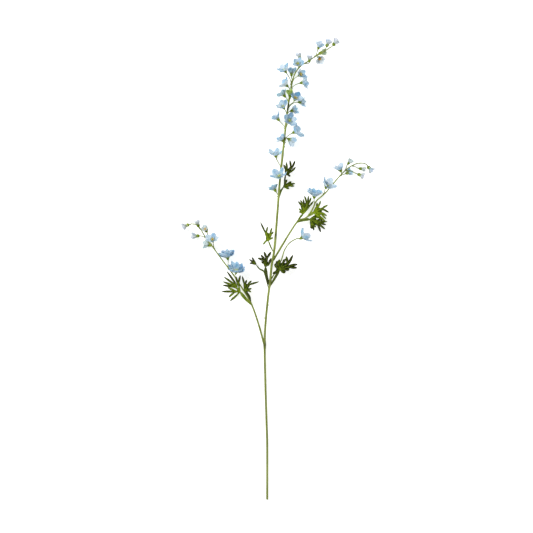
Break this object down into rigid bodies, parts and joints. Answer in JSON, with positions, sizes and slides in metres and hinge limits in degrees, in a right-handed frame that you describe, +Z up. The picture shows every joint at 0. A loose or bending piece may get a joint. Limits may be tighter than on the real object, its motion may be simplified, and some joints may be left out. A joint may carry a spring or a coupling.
{
  "type": "delphinium flower spike",
  "caption": "Cut delphinium stem with two side shoots, pale blue cupped blooms, small buds and finely cut leaves, lying flat.",
  "frame": {"origin": "bottom centre of the bounding box, on the surface that the stem lies on", "axes": "+Y from the cut end of the stem towards the tip of the spike, +X towards the right-hand shoot, +Z up from the surface"},
  "size_m": [0.429, 1.0178, 0.0624],
  "materials": {
    "petals": "soft matte, light sky blue with lavender edges and a pale green eye",
    "buds": "soft matte, white to pale lilac",
    "stem": "satin yellow-green with darker joints",
    "leaves": "matte dark olive green with lighter ribs"
  },
  "bodies": {
    "root": {"bloom_main_01": "buds", "bloom_main_02": "buds", "bloom_main_03": "petals", "bloom_main_04": "buds", "bloom_main_05": "petals", "bloom_main_06": "buds", "bloom_main_07": "buds", "bloom_main_08": "petals", "bloom_main_09": "petals", "bloom_main_10": "petals", "bloom_main_11": "petals", "bloom_main_12": "petals", "bloom_main_13": "petals", "bloom_main_14": "petals", "bloom_main_15": "buds", "bloom_main_16": "petals", "bloom_main_17": "petals", "bloom_main_18": "petals", "bloom_main_19": "petals", "bloom_main_20": "petals", "bloom_main_21": "petals", "bloom_main_22": "petals", "bloom_main_23": "petals", "bloom_main_24": "petals", "bloom_main_25": "petals", "bloom_main_26": "petals", "bloom_main_27": "petals", "bloom_left_01": "buds", "bloom_left_02": "buds", "bloom_left_03": "petals", "bloom_left_04": "buds", "bloom_left_05": "petals", "bloom_left_06": "petals", "bloom_left_07": "petals", "bloom_left_08": "petals", "bloom_right_01": "buds", "bloom_right_02": "buds", "bloom_right_03": "buds", "bloom_right_04": "petals", "bloom_right_05": "petals", "bloom_right_06": "petals", "bloom_right_07": "petals", "bloom_right_08": "petals", "bloom_stalk_01": "petals", "stem": "stem", "leaf_left_a": "leaves", "leaf_left_b": "leaves", "leaf_fork_a": "leaves", "leaf_fork_b": "leaves", "leaf_fork_c": "leaves", "leaf_upper": "leaves", "leaf_right_a": "leaves", "leaf_right_b": "leaves", "leaf_right_c": "leaves", "leaf_spike_a": "leaves", "leaf_spike_b": "leaves"}
  },
  "joints": []
}
